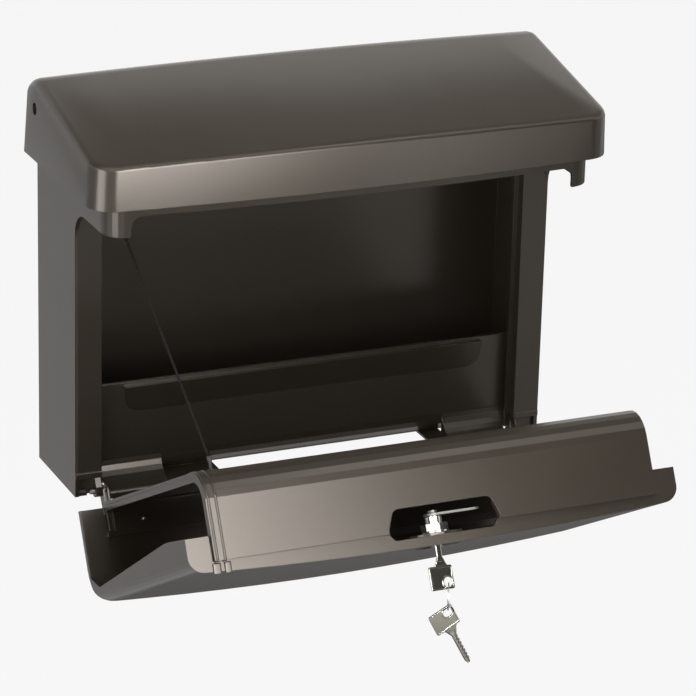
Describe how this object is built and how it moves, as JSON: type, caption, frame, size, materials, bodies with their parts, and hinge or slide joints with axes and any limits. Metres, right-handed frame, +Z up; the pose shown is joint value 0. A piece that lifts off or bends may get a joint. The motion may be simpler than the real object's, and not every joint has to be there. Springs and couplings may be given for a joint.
{
  "type": "wall mailbox",
  "caption": "Wall mailbox with a hinged rain lid, a drop-down locking door that doubles as a newspaper tunnel, a check cord and keys.",
  "frame": {"origin": "centre of the four wall holes, on the back face of the housing", "axes": "+X to the right as seen from the front, +Y into the wall, +Z up"},
  "size_m": [0.4, 0.3213, 0.3733],
  "materials": {
    "bronze_plastic": "satin metallic bronze moulding plastic",
    "chrome": "bright plated metal",
    "zinc_steel": "zinc plated steel",
    "black_plastic": "matt black plastic",
    "black_cord": "black braided cord"
  },
  "bodies": {
    "housing": {"housing": "bronze_plastic", "lid_pin_left": "black_plastic", "lid_pin_right": "black_plastic", "door_hinge_pin_left": "zinc_steel", "door_hinge_pin_right": "zinc_steel", "cord_post_housing": "black_plastic", "check_cord": "black_cord"},
    "lid": {"lid": "bronze_plastic"},
    "door": {"door_outer_skin": "bronze_plastic", "door_inner_skin": "bronze_plastic", "door_screw_1": "zinc_steel", "door_screw_2": "zinc_steel", "door_screw_3": "zinc_steel", "door_screw_4": "zinc_steel", "cord_post_door": "black_plastic", "lock_body": "chrome", "lock_washer": "chrome", "lock_nut": "chrome"},
    "plug": {"lock_plug": "chrome", "lock_cam": "zinc_steel", "cam_screw": "zinc_steel"},
    "key": {"key": "chrome"},
    "key_ring": {"key_ring": "chrome"},
    "spare_key": {"spare_key": "chrome"}
  },
  "joints": [
    {"name": "door_hinge", "type": "hinge", "parent": "housing", "child": "door", "pos_m": [0, -0.081, -0.1245], "axis": [-1, 0, 0], "range_deg": [0, 62.2], "deforming": ["check_cord"]},
    {"name": "lid_hinge", "type": "hinge", "parent": "housing", "child": "lid", "pos_m": [0, -0.029, 0.155], "axis": [-1, 0, 0], "range_deg": [0, 70]},
    {"name": "lock_turn", "type": "hinge", "parent": "door", "child": "plug", "pos_m": [0.003, -0.29324, -0.09286], "axis": [0, -0.4664, -0.8846], "range_deg": [0, 90]},
    {"name": "key_pull", "type": "slide", "parent": "plug", "child": "key", "axis": [0, -0.4664, -0.8846], "range_m": [0, 0.03]},
    {"name": "ring_swing", "type": "hinge", "parent": "key", "child": "key_ring", "pos_m": [0.0066, -0.31204, -0.12851], "axis": [0.4067, 0.9135, 0], "range_deg": [-20, 20]},
    {"name": "spare_key_swing", "type": "hinge", "parent": "key_ring", "child": "spare_key", "pos_m": [0.0066, -0.31204, -0.14731], "axis": [0.4067, 0.9135, 0], "range_deg": [-25, 25]}
  ]
}
